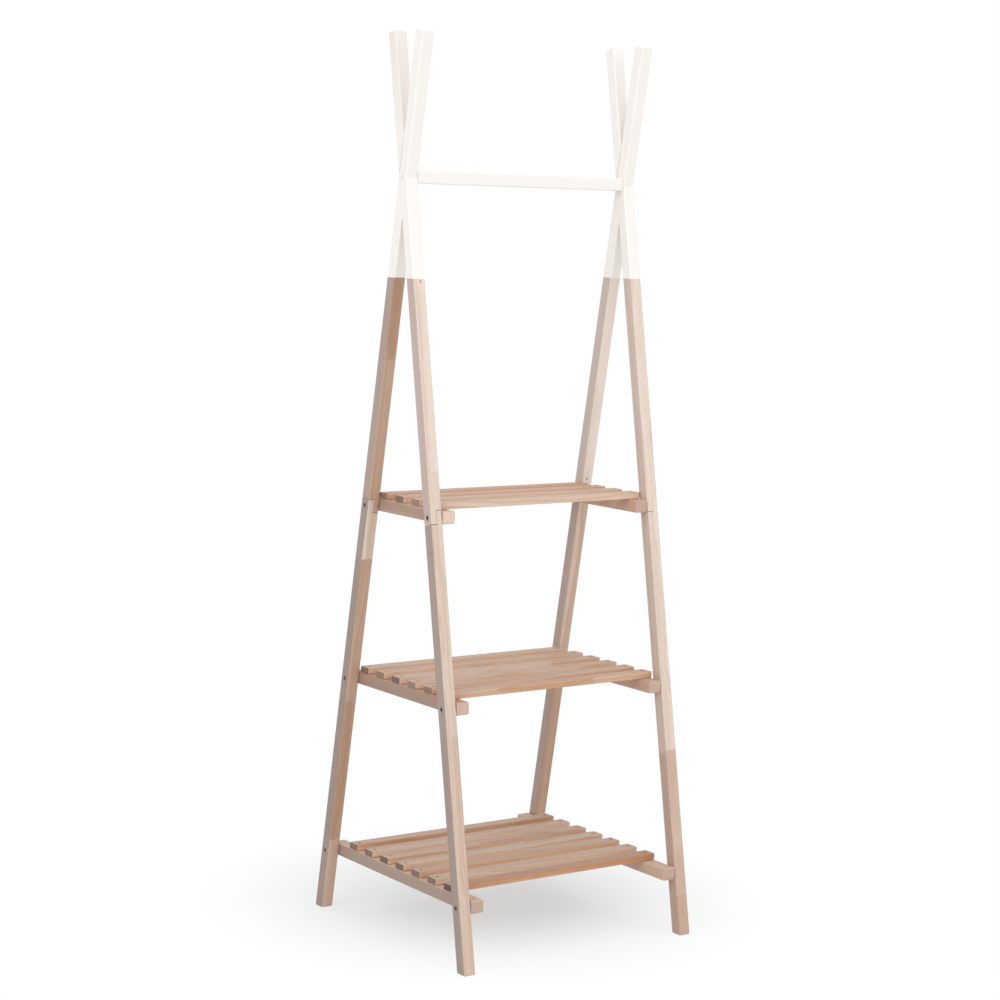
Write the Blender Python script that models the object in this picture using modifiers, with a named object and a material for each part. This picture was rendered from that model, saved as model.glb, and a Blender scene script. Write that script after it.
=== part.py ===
# Freestanding clothes rack in solid wood.
# Two crossed leg frames carry a square hanging bar and three slatted shelves.
# Units are metres and +Z is up. X runs along the hanging bar, -Y is the front,
# and the origin is on the floor under the middle of the rack.

import math

import bmesh
import bpy
from mathutils import Matrix, Vector

# The two end frames: each pair of legs crosses at one height, and the tips rise above it

RACK_WIDTH = 0.526
CROSSING_HEIGHT = 1.435
TIP_RISE = 0.267
PAINT_DROP = 0.185
SPLAY_ANGLE = math.radians(10.0)

# Square leg stock, and the half lap that joins its lower and upper lengths

LEG_WIDTH = 0.025
LEG_THICKNESS = 0.025
LEG_EDGE_RADIUS = 0.003
LAP_LENGTH = 0.026

# Shelf rails, with the height of each pair's centre line above the floor

RAIL_WIDTH = 0.028
RAIL_HEIGHT = 0.024
RAIL_EDGE_RADIUS = 0.002
BOTTOM_RAIL_LEVEL = 0.119
MIDDLE_RAIL_LEVEL = 0.474
TOP_RAIL_LEVEL = 0.818

# Shelf slats

SLAT_WIDTH = 0.029
SLAT_THICKNESS = 0.0125
SLAT_GAP = 0.0265
SLAT_END_CLEARANCE = 0.001
SLAT_EDGE_RADIUS = 0.0012
BOTTOM_SLAT_COUNT = 7
MIDDLE_SLAT_COUNT = 6
TOP_SLAT_COUNT = 4

# Hanging bar

BAR_HEIGHT = 0.024
BAR_DEPTH = 0.024
BAR_EDGE_RADIUS = 0.002

# Socket head bolts that hold the rails and the bar, and their threaded inserts

BOLT_DIAMETER = 0.006
BOLT_LENGTH = 0.035
BOLT_TIP_CHAMFER = 0.001
BOLT_HEAD_DIAMETER = 0.009
BOLT_HEAD_HEIGHT = 0.004
BOLT_HEAD_RECESS = 0.0015
BOLT_SOCKET_WIDTH = 0.004
BOLT_SOCKET_DEPTH = 0.002
INSERT_DIAMETER = 0.010
INSERT_LENGTH = 0.013

# Holes for the countersunk screws that hold each slat to its rails

SCREW_DIAMETER = 0.0035
SCREW_LENGTH = 0.025
SCREW_HEAD_DIAMETER = 0.007
SCREW_HEAD_HEIGHT = 0.002
SCREW_HEAD_RECESS = 0.0005

# Fit, cutting and faceting

FIT_GAP = 0.0003
CUT_OVERRUN = 0.005
WELD_DISTANCE = 0.00001
ROUNDING_STEPS = 2
BOLT_FACETS = 12
SOCKET_FACETS = 6
SCREW_FACETS = 6
SMOOTH_ANGLE = math.radians(40.0)

# Names of the sides, and the way each one points

SIDES = {"left": -1, "right": 1}
FEET = {"rear": 1, "front": -1}
SHELVES = {
    "bottom": (BOTTOM_RAIL_LEVEL, BOTTOM_SLAT_COUNT),
    "middle": (MIDDLE_RAIL_LEVEL, MIDDLE_SLAT_COUNT),
    "top": (TOP_RAIL_LEVEL, TOP_SLAT_COUNT),
}

# Places that follow from the sizes

leg_inner_face = RACK_WIDTH / 2 - LEG_THICKNESS
leg_centre_plane = RACK_WIDTH / 2 - LEG_THICKNESS / 2
rail_centre_plane = leg_inner_face - FIT_GAP - RAIL_WIDTH / 2
slat_pitch = SLAT_WIDTH + SLAT_GAP


def leg_offset(height):
    """Distance of a leg's centre line from the middle plane at a height."""
    return (CROSSING_HEIGHT - height) * math.tan(SPLAY_ANGLE)


def slat_base(rail_level):
    """Height of the underside of the slats that lie on a rail."""
    return rail_level + RAIL_HEIGHT / 2 + FIT_GAP


def slat_places(count):
    """Distances of the slats' centre lines from the middle plane, rear to front."""
    return [((count - 1) / 2 - index) * slat_pitch for index in range(count)]


# Scene helpers

def clear_scene():
    for item in list(bpy.data.objects):
        bpy.data.objects.remove(item, do_unlink=True)


def make_collection(name):
    collection = bpy.data.collections.new(name)
    bpy.context.scene.collection.children.link(collection)
    return collection


def make_material(name, colour, roughness, metallic):
    material = bpy.data.materials.new(name)
    material.use_nodes = True
    shader = material.node_tree.nodes["Principled BSDF"]
    shader.inputs["Base Color"].default_value = (*colour, 1.0)
    shader.inputs["Roughness"].default_value = roughness
    shader.inputs["Metallic"].default_value = metallic
    material.diffuse_color = (*colour, 1.0)
    return material


clear_scene()
parts = make_collection("clothes_rack")
cutters = make_collection("cutters")

beech = make_material("oiled_beech", (0.60, 0.42, 0.30), 0.55, 0.0)
white_paint = make_material("white_paint", (0.88, 0.86, 0.83), 0.45, 0.0)
zinc_steel = make_material("zinc_plated_steel", (0.52, 0.50, 0.46), 0.35, 1.0)

rack = bpy.data.objects.new("rack_origin", None)
parts.objects.link(rack)


def add_part(name, mesh, *materials):
    """Put a mesh in the parts collection as a child of the rack's origin."""
    part = bpy.data.objects.new(name, mesh)
    if not mesh.materials:
        for material in materials:
            mesh.materials.append(material)
    parts.objects.link(part)
    part.parent = rack
    return part


def add_cutter(name, mesh):
    """Put a mesh in the cutters collection, drawn as wire and never rendered."""
    cutter = bpy.data.objects.new(name, mesh)
    cutters.objects.link(cutter)
    cutter.hide_render = True
    cutter.display_type = "WIRE"
    cutter.parent = rack
    return cutter


def block_mesh(name, low, high):
    """A box between two corners."""
    low, high = Vector(low), Vector(high)
    place = Matrix.Translation((low + high) / 2) @ Matrix.Diagonal((high - low).to_4d())
    shape = bmesh.new()
    bmesh.ops.create_cube(shape, size=1.0, matrix=place)
    mesh = bpy.data.meshes.new(name)
    shape.to_mesh(mesh)
    shape.free()
    return mesh


def centred_block_mesh(name, size):
    half = Vector(size) / 2
    return block_mesh(name, -half, half)


def turned_mesh(name, profile, facets, closed=False):
    """Turn a profile of (radius, height) points round the Z axis."""
    count = len(profile)
    edges = [(index, index + 1) for index in range(count - 1)]
    if closed:
        edges.append((count - 1, 0))
    outline = bpy.data.meshes.new(name + "_profile")
    outline.from_pydata([(radius, 0.0, height) for radius, height in profile], edges, [])
    blank = bpy.data.objects.new(name + "_blank", outline)
    cutters.objects.link(blank)
    screw = blank.modifiers.new("turn", "SCREW")
    screw.axis = "Z"
    screw.angle = math.tau
    screw.steps = facets
    screw.render_steps = facets
    screw.use_merge_vertices = True
    screw.merge_threshold = WELD_DISTANCE
    screw.use_smooth_shade = False
    mesh = evaluated_mesh(blank)
    mesh.name = name
    bpy.data.objects.remove(blank)
    return mesh


def evaluated_mesh(item):
    """The mesh of an object with its modifiers applied."""
    bpy.context.view_layer.update()
    depsgraph = bpy.context.evaluated_depsgraph_get()
    return bpy.data.meshes.new_from_object(item.evaluated_get(depsgraph))


def shade_round(mesh):
    """Shade the turned faces smooth and keep the corners between them sharp."""
    mesh.shade_smooth()
    mesh.set_sharp_from_angle(angle=SMOOTH_ANGLE)


def round_edges(part, radius):
    bevel = part.modifiers.new("rounded edges", "BEVEL")
    bevel.width = radius
    bevel.segments = ROUNDING_STEPS
    bevel.limit_method = "ANGLE"


def cut(part, cutter):
    boolean = part.modifiers.new(cutter.name, "BOOLEAN")
    boolean.operation = "DIFFERENCE"
    boolean.solver = "EXACT"
    boolean.object = cutter


# Fasteners: each is turned about Z with its surface at height zero and its tip below

def bolt_mesh():
    head_top = -BOLT_HEAD_RECESS
    seat = head_top - BOLT_HEAD_HEIGHT
    tip = seat - BOLT_LENGTH
    head_radius = BOLT_HEAD_DIAMETER / 2
    shank_radius = BOLT_DIAMETER / 2
    turned = turned_mesh("bolt_turned", [
        (0.0, head_top),
        (head_radius, head_top),
        (head_radius, seat),
        (shank_radius, seat),
        (shank_radius, tip + BOLT_TIP_CHAMFER),
        (shank_radius - BOLT_TIP_CHAMFER, tip),
        (0.0, tip),
    ], BOLT_FACETS)
    socket_radius = BOLT_SOCKET_WIDTH / 2 / math.cos(math.pi / SOCKET_FACETS)
    socket = add_cutter("bolt_socket", turned_mesh("bolt_socket", [
        (0.0, head_top + CUT_OVERRUN),
        (socket_radius, head_top + CUT_OVERRUN),
        (socket_radius, head_top - BOLT_SOCKET_DEPTH),
        (0.0, head_top - BOLT_SOCKET_DEPTH),
    ], SOCKET_FACETS))
    blank = add_cutter("bolt_blank", turned)
    cut(blank, socket)
    mesh = evaluated_mesh(blank)
    mesh.name = "socket_head_bolt"
    bpy.data.objects.remove(blank)
    bpy.data.objects.remove(socket)
    shade_round(mesh)
    return mesh


def bolt_hole_mesh():
    """Counterbore and clearance hole through a leg, then the insert's pocket behind it."""
    seat = -BOLT_HEAD_RECESS - BOLT_HEAD_HEIGHT - FIT_GAP
    joint = -LEG_THICKNESS - FIT_GAP / 2
    pocket_end = -LEG_THICKNESS - FIT_GAP * 3 - INSERT_LENGTH
    tip = seat - BOLT_LENGTH - FIT_GAP
    counterbore_radius = BOLT_HEAD_DIAMETER / 2 + FIT_GAP
    clearance_radius = BOLT_DIAMETER / 2 + FIT_GAP
    pocket_radius = INSERT_DIAMETER / 2 + FIT_GAP
    return turned_mesh("bolt_hole", [
        (0.0, CUT_OVERRUN),
        (counterbore_radius, CUT_OVERRUN),
        (counterbore_radius, seat),
        (clearance_radius, seat),
        (clearance_radius, joint),
        (pocket_radius, joint),
        (pocket_radius, pocket_end),
        (clearance_radius, pocket_end),
        (clearance_radius, tip),
        (0.0, tip),
    ], BOLT_FACETS)


def insert_mesh():
    """A threaded sleeve that starts just inside the face it is driven into."""
    top = -LEG_THICKNESS - FIT_GAP * 2
    inner = BOLT_DIAMETER / 2 + FIT_GAP
    outer = INSERT_DIAMETER / 2
    mesh = turned_mesh("threaded_insert", [
        (inner, top),
        (outer, top),
        (outer, top - INSERT_LENGTH),
        (inner, top - INSERT_LENGTH),
    ], BOLT_FACETS, closed=True)
    shade_round(mesh)
    return mesh


def screw_hole_mesh():
    head_top = -SCREW_HEAD_RECESS
    neck = head_top - SCREW_HEAD_HEIGHT
    tip = head_top - SCREW_LENGTH - FIT_GAP
    head_radius = SCREW_HEAD_DIAMETER / 2 + FIT_GAP
    shank_radius = SCREW_DIAMETER / 2 + FIT_GAP
    return turned_mesh("screw_hole", [
        (0.0, CUT_OVERRUN),
        (head_radius, CUT_OVERRUN),
        (head_radius, head_top),
        (shank_radius, neck),
        (shank_radius, tip),
        (0.0, tip),
    ], SCREW_FACETS)


bolt_hole = bolt_hole_mesh()
screw_hole = screw_hole_mesh()


def bolt_place(side, across, height):
    """Matrix that sets a bolt in a leg's outer face, pointing to the middle of the rack."""
    turn = Matrix.Rotation(SIDES[side] * math.pi / 2, 4, "Y")
    return Matrix.Translation((SIDES[side] * RACK_WIDTH / 2, across, height)) @ turn


def screw_place(side, across, rail_level):
    """Matrix that sets a screw in a slat's top face, over the middle of the rail."""
    top = slat_base(rail_level) + SLAT_THICKNESS
    return Matrix.Translation((SIDES[side] * rail_centre_plane, across, top))


def bolt_cutter(name, place):
    cutter = add_cutter(name, bolt_hole)
    cutter.matrix_local = place
    return cutter


# Every bolt hole, named for what it holds: one for each leg at each rail, one at each crossing

rail_bolt_places = {}
bar_bolt_places = {}
for side in SIDES:
    for foot in FEET:
        for shelf, (level, count) in SHELVES.items():
            across = FEET[foot] * leg_offset(level)
            rail_bolt_places[side, foot, shelf] = bolt_place(side, across, level)
    bar_bolt_places[side] = bolt_place(side, 0.0, CROSSING_HEIGHT)

rail_holes = {
    key: bolt_cutter("_".join(key) + "_bolt_hole", place)
    for key, place in rail_bolt_places.items()
}
bar_holes = {
    side: bolt_cutter(side + "_bar_bolt_hole", place)
    for side, place in bar_bolt_places.items()
}


# Legs: each is two lengths of square stock joined by a half lap behind the top rail

lap_centre = -(CROSSING_HEIGHT - TOP_RAIL_LEVEL) / math.cos(SPLAY_ANGLE)
lap_top = lap_centre + LAP_LENGTH / 2
lap_bottom = lap_centre - LAP_LENGTH / 2
leg_top = (TIP_RISE - LEG_WIDTH / 2 * math.sin(SPLAY_ANGLE)) / math.cos(SPLAY_ANGLE)
leg_foot = -CROSSING_HEIGHT / math.cos(SPLAY_ANGLE)
paint_line = -PAINT_DROP / math.cos(SPLAY_ANGLE)


def leg_frame(part, side, foot):
    """Set a leg's origin on the crossing, with its own Z axis along the stock."""
    part.location = (SIDES[side] * leg_centre_plane, 0.0, CROSSING_HEIGHT)
    part.rotation_euler = (FEET[foot] * SPLAY_ANGLE, 0.0, 0.0)


def leg_stock_mesh(name, foot):
    """The whole stick in its own frame, sawn off level with the floor."""
    mesh = block_mesh(
        name,
        (-LEG_THICKNESS / 2, -LEG_WIDTH / 2, leg_foot - LEG_WIDTH),
        (LEG_THICKNESS / 2, LEG_WIDTH / 2, leg_top),
    )
    lean = FEET[foot] * SPLAY_ANGLE
    up = Vector((0.0, math.sin(lean), math.cos(lean)))
    shape = bmesh.new()
    shape.from_mesh(mesh)
    sawn = bmesh.ops.bisect_plane(
        shape, geom=shape.verts[:] + shape.edges[:] + shape.faces[:],
        plane_co=(0.0, 0.0, leg_foot), plane_no=up, clear_inner=True)
    rim = [item for item in sawn["geom_cut"] if isinstance(item, bmesh.types.BMEdge)]
    bmesh.ops.holes_fill(shape, edges=rim)
    bmesh.ops.bisect_plane(
        shape, geom=shape.verts[:] + shape.edges[:] + shape.faces[:],
        plane_co=(0.0, 0.0, paint_line), plane_no=up)
    for face in shape.faces:
        height = (face.calc_center_median() - Vector((0.0, 0.0, paint_line))).dot(up)
        face.material_index = 1 if height > 0.0 else 0
    bmesh.ops.recalc_face_normals(shape, faces=shape.faces[:])
    shape.to_mesh(mesh)
    shape.free()
    return mesh


def leg_cutter(name, side, foot, across, along):
    """A box in a leg's own frame; across and along give its limits in X and Z."""
    reach = LEG_WIDTH / 2 + CUT_OVERRUN
    cutter = add_cutter(name, block_mesh(
        name,
        (min(across), -reach, min(along)),
        (max(across), reach, max(along)),
    ))
    leg_frame(cutter, side, foot)
    return cutter


def tongue_side(side, foot):
    """X direction of the lower length's tongue: outside on one diagonal, inside on the other."""
    outward = SIDES[side]
    return outward if outward * FEET[foot] < 0 else -outward


def notch_side(side, foot):
    """X direction of the halving notch at the crossing."""
    outward = SIDES[side]
    return -outward if outward * FEET[foot] < 0 else outward


def make_lower_leg(side, foot):
    name = side + "_" + foot + "_lower_leg"
    leg = add_part(name, leg_stock_mesh(name, foot), beech, white_paint)
    leg_frame(leg, side, foot)
    round_edges(leg, LEG_EDGE_RADIUS)
    tongue = tongue_side(side, foot)
    outside = LEG_THICKNESS / 2 + CUT_OVERRUN
    cut(leg, leg_cutter(name + "_end", side, foot, (-outside, outside),
                        (lap_top - FIT_GAP / 2, leg_top + CUT_OVERRUN)))
    cut(leg, leg_cutter(name + "_lap", side, foot, (tongue * FIT_GAP / 2, -tongue * outside),
                        (lap_bottom - FIT_GAP / 2, lap_top + CUT_OVERRUN)))
    for shelf in SHELVES:
        cut(leg, rail_holes[side, foot, shelf])
    return leg


def make_upper_leg(side, foot):
    name = side + "_" + foot + "_upper_leg"
    leg = add_part(name, leg_stock_mesh(name, foot), beech, white_paint)
    leg_frame(leg, side, foot)
    round_edges(leg, LEG_EDGE_RADIUS)
    tongue = tongue_side(side, foot)
    outside = LEG_THICKNESS / 2 + CUT_OVERRUN
    below = leg_foot - LEG_WIDTH - CUT_OVERRUN
    cut(leg, leg_cutter(name + "_end", side, foot, (-outside, outside),
                        (below, lap_bottom + FIT_GAP / 2)))
    cut(leg, leg_cutter(name + "_lap", side, foot, (-tongue * FIT_GAP / 2, tongue * outside),
                        (lap_bottom - CUT_OVERRUN, lap_top + FIT_GAP / 2)))
    cut(leg, crossing_cutter(name + "_notch", side, foot))
    cut(leg, rail_holes[side, foot, "top"])
    cut(leg, bar_holes[side])
    return leg


def crossing_cutter(name, side, foot):
    """Half the thickness of the other leg of the frame, lying along that leg."""
    notch = notch_side(side, foot)
    other = "front" if foot == "rear" else "rear"
    outside = LEG_THICKNESS / 2 + CUT_OVERRUN
    half_width = LEG_WIDTH / 2 + FIT_GAP
    half_length = LEG_WIDTH / math.sin(SPLAY_ANGLE)
    limits = (-notch * FIT_GAP / 2, notch * outside)
    cutter = add_cutter(name, block_mesh(
        name,
        (min(limits), -half_width, -half_length),
        (max(limits), half_width, half_length),
    ))
    leg_frame(cutter, side, other)
    return cutter


# Rails and slats

def make_rail(side, shelf):
    """A rail that ends flush with the outside of the legs it is bolted to."""
    level, count = SHELVES[shelf]
    half_length = leg_offset(level) + LEG_WIDTH / 2 / math.cos(SPLAY_ANGLE)
    name = side + "_" + shelf + "_rail"
    rail = add_part(name, centred_block_mesh(name, (RAIL_WIDTH, half_length * 2, RAIL_HEIGHT)), beech)
    rail.location = (SIDES[side] * rail_centre_plane, 0.0, level)
    round_edges(rail, RAIL_EDGE_RADIUS)
    for foot in FEET:
        cut(rail, rail_holes[side, foot, shelf])
    for number in range(1, count + 1):
        cut(rail, screw_holes[shelf, number, side])
    return rail


def make_slat(shelf, number, across):
    level, count = SHELVES[shelf]
    length = (leg_inner_face - SLAT_END_CLEARANCE) * 2
    name = shelf + "_slat_" + str(number)
    slat = add_part(name, centred_block_mesh(name, (length, SLAT_WIDTH, SLAT_THICKNESS)), beech)
    slat.location = (0.0, across, slat_base(level) + SLAT_THICKNESS / 2)
    round_edges(slat, SLAT_EDGE_RADIUS)
    for side in SIDES:
        cut(slat, screw_holes[shelf, number, side])
    return slat


screw_holes = {}
for shelf, (level, count) in SHELVES.items():
    for number, across in enumerate(slat_places(count), start=1):
        for side in SIDES:
            name = shelf + "_slat_" + str(number) + "_" + side + "_screw_hole"
            hole = add_cutter(name, screw_hole)
            hole.matrix_local = screw_place(side, across, level)
            screw_holes[shelf, number, side] = hole


def make_bar():
    """The hanging bar, butted between the inner faces of the two crossings."""
    length = (leg_inner_face - FIT_GAP) * 2
    bar = add_part("hanging_bar", centred_block_mesh("hanging_bar", (length, BAR_DEPTH, BAR_HEIGHT)),
                   white_paint)
    bar.location = (0.0, 0.0, CROSSING_HEIGHT)
    round_edges(bar, BAR_EDGE_RADIUS)
    for side in SIDES:
        cut(bar, bar_holes[side])
    return bar


# Assembly

for side in SIDES:
    for foot in FEET:
        make_lower_leg(side, foot)
        make_upper_leg(side, foot)
    for shelf in SHELVES:
        make_rail(side, shelf)

for shelf, (level, count) in SHELVES.items():
    for number, across in enumerate(slat_places(count), start=1):
        make_slat(shelf, number, across)

make_bar()

# Fasteners: a bolt and an insert for each leg at each rail, and for each end of the bar

bolt = bolt_mesh()
insert = insert_mesh()


def add_fasteners(name, place):
    for kind, mesh in (("bolt", bolt), ("insert", insert)):
        fastener = add_part(name + "_" + kind, mesh, zinc_steel)
        fastener.matrix_local = place


for key, place in rail_bolt_places.items():
    add_fasteners("_".join(key), place)
for side, place in bar_bolt_places.items():
    add_fasteners(side + "_bar", place)
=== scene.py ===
# %% [markdown]
# # A clothes rack in oiled beech and white paint
#
# The real rack is a stick construction: four splayed legs, square rails, thin slats and one bar, all
# sawn and planed from the same kind of wood, bolted and screwed together. This lesson dresses the
# engineer's solids of it. Each stick is made again as a fine mesh in the place that its solid holds,
# and gets wood that runs along it, because straight sticks look real only when their grain does.

# %% Load the frame and keep its box
import math
import random

import bmesh
import bpy
from mathutils import Matrix, Vector


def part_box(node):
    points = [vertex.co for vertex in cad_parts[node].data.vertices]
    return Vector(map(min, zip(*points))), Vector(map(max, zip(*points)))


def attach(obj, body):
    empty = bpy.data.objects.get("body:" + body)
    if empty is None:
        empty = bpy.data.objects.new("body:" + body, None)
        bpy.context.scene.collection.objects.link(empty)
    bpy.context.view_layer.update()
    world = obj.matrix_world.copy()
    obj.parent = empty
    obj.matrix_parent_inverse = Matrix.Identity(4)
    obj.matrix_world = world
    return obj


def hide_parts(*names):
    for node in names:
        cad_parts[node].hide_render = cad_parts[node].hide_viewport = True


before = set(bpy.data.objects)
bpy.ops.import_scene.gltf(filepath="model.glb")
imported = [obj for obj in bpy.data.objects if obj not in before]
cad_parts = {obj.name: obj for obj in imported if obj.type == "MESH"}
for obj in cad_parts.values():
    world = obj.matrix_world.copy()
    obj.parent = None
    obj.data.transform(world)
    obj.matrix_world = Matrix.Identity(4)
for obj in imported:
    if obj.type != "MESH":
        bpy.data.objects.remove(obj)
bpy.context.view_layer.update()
MM = 0.001
print("solids loaded:", len(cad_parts))

# %% [markdown]
# The sticks' places and sizes are read from the solids, so that nothing has to be fitted afterwards. A
# box gives both where a stick lies square. Two rails of one frame, one higher up than the other, give
# the slope of the legs, as both end flush with them.


# %% Measure the solids
def middle(node):
    low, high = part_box(node)
    return (low + high) / 2


def extent(node):
    low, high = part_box(node)
    return high - low


SIDES = {"left": -1, "right": 1}
FEET = {"rear": 1, "front": -1}
SHELVES = {"bottom": 7, "middle": 6, "top": 4}
SLATS = {shelf: [shelf + "_slat_" + str(number + 1) for number in range(count)]
         for shelf, count in SHELVES.items()}

crossing_height = middle("hanging_bar").z
leg_plane = middle("right_front_lower_leg").x
leg_stock = extent("right_front_lower_leg").x
rail_plane = middle("right_bottom_rail").x
rail_levels = {shelf: middle("right_" + shelf + "_rail").z for shelf in SHELVES}
slope = ((extent("right_bottom_rail").y - extent("right_top_rail").y) / 2
         / (rail_levels["top"] - rail_levels["bottom"]))
splay = math.atan(slope)
print("legs lean", round(math.degrees(splay), 2), "degrees and cross at", round(crossing_height, 4), "m")

# %% [markdown]
# Photographs give colours as sRGB hex values, while a shader works in linear light. One function turns
# the first into the second, for every colour below. A second small function adds a node, sets it and
# links it in one line, so that a material reads from top to bottom like a recipe.


# %% Colour and node helpers
def linear(hex_code):
    """A colour written as #RRGGBB in sRGB, as linear RGBA."""
    parts = [int(hex_code[place:place + 2], 16) / 255 for place in (1, 3, 5)]
    bent = [part / 12.92 if part <= 0.04045 else ((part + 0.055) / 1.055) ** 2.4 for part in parts]
    return (*bent, 1.0)


def add_node(tree, kind, inputs=None, **settings):
    """Add a node. An input that is another node's output is linked, and any other value is set."""
    node = tree.nodes.new("ShaderNode" + kind)
    for name, value in settings.items():
        setattr(node, name, value)
    for name, value in (inputs or {}).items():
        if isinstance(value, bpy.types.NodeSocket):
            tree.links.new(value, node.inputs[name])
        else:
            node.inputs[name].default_value = value
    return node


def new_material(name):
    """An empty Principled material, with its node tree and its shader."""
    material = bpy.data.materials.new(name)
    material.use_nodes = True
    tree = material.node_tree
    return material, tree, tree.nodes["Principled BSDF"]


# A Mix node has sockets of the same names for each kind of value. These are the places of the two
# inputs for plain numbers, and of the two inputs and the output for colours
NUMBER_A, NUMBER_B = 2, 3
MIX_A, MIX_B, MIXED = 6, 7, 2
print("middle grey in linear light:", linear("#808080"))

# %% [markdown]
# Beech is a pale pinkish wood with no open pores. What the eye sees on a planed and oiled stick is, in
# order of size: blocks of different trees where short lengths are finger-jointed into one, broad
# streaks a few millimetres wide that run the whole way, fine growth rings, and the short dark flecks
# by which beech is known. The ends are browner, because cut fibres drink the oil. One pair of sides
# of each stick is greyer. This is partly because the silvery rays lie flat in sides sawn towards the
# pith, and partly painted shade laid on those sides.
#
# The way chosen here is a solid texture. Each stick is a piece out of a round trunk, so its distance
# from the trunk's middle, bent a little along the way, gives rings that are lines on the sides and arcs
# on the ends, as if it had really been sawn. Every stick has its own Z axis along the fibres.

# %% The sizes of the wood's pattern
RING_WIDTH = 2.6 * MM
RING_WANDER = 28 * MM
STREAK_WIDTH = 11 * MM
WANDER_ACROSS = 60 * MM
WANDER_ALONG = 320 * MM
FIBRE_WIDTH = 0.7 * MM
FIBRE_LENGTH = 34 * MM
FIBRE_RELIEF = 0.05 * MM
# Real flecks are 0.3 mm wide and 2 mm long. They are drawn coarser, or a rack this size would hide them
FLECK_WIDTH = 0.9 * MM
FLECK_LENGTH = 5.5 * MM
FINGER_PITCH = 6.2 * MM
FINGER_DEPTH = 10 * MM
# A knot is longer than wide, so distances from it count for less along the wood
KNOT_SHAPE = (1.0, 1.0, 0.6)
KNOT_RADIUS = 2.0 * MM
KNOT_REACH = 14 * MM
KNOT_PUSH = 7 * MM
# Every block of a stick comes from another place in the trunk, this much further on, in metres
BLOCK_SHIFT = (0.137, 0.291, 0.413)

# %% [markdown]
# A finger joint is a zigzag cut into the ends of two blocks, which are glued together. So a block begins
# where a zigzag line along the stick gets past the place of a joint. The mesh carries the places of
# three joints and the depth of colour of the four blocks that they part, so one material is enough for
# all the sticks of a kind.


# %% The blocks of a finger-jointed stick
def finger_joints(tree, here):
    """The depth of colour of the block that a point lies in, and how many joints lie below it."""
    joints = add_node(tree, "Attribute", attribute_name="joints").outputs["Vector"]
    joint = add_node(tree, "SeparateXYZ", {0: joints})
    tones = add_node(tree, "Attribute", attribute_name="tones")
    parts = add_node(tree, "SeparateColor", {0: tones.outputs["Color"]})

    across = add_node(tree, "SeparateXYZ", {0: here})
    finger = add_node(tree, "Math", {0: across.outputs["Y"], 1: FINGER_PITCH / 2}, operation="PINGPONG")
    along = add_node(tree, "Math", {0: finger.outputs[0], 1: 2 * FINGER_DEPTH / FINGER_PITCH,
                                    2: across.outputs["Z"]}, operation="MULTIPLY_ADD")
    passed = [add_node(tree, "Math", {0: along.outputs[0], 1: joint.outputs[axis]},
                       operation="GREATER_THAN").outputs[0] for axis in "XYZ"]
    tone = parts.outputs["Red"]
    for share, value in zip(passed, (parts.outputs["Green"], parts.outputs["Blue"],
                                     tones.outputs["Alpha"])):
        tone = add_node(tree, "Mix", {"Factor": share, NUMBER_A: tone, NUMBER_B: value}).outputs[0]
    count = add_node(tree, "Math", {0: passed[0], 1: passed[1]}, operation="ADD").outputs[0]
    count = add_node(tree, "Math", {0: count, 1: passed[2]}, operation="ADD").outputs[0]
    return tone, count


# %% [markdown]
# Rings are a noise of one number only: the distance from the pith. Nothing in a tree is quite round, so
# a slow noise bends that distance, and a knot pushes it aside. Fibres, flecks and, later, the marks of a
# brush are noises whose spots are thin and long.


# %% Rings, streaks, fibres and flecks
def grain_noise(tree, place, width, length, detail):
    """A noise whose spots have this width across the wood and this length along it."""
    drawn_out = add_node(tree, "Mapping", {"Vector": place,
                                           "Scale": (1 / width, 1 / width, 1 / length)})
    return add_node(tree, "TexNoise", {"Vector": drawn_out.outputs[0], "Scale": 1.0, "Detail": detail})


def knot_distance(tree, here):
    knot = add_node(tree, "Attribute", attribute_name="knot").outputs["Vector"]
    to_knot = add_node(tree, "VectorMath", {0: here, 1: knot}, operation="SUBTRACT")
    squeezed = add_node(tree, "VectorMath", {0: to_knot.outputs[0], 1: KNOT_SHAPE}, operation="MULTIPLY")
    return add_node(tree, "VectorMath", {0: squeezed.outputs[0]}, operation="LENGTH").outputs["Value"]


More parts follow.
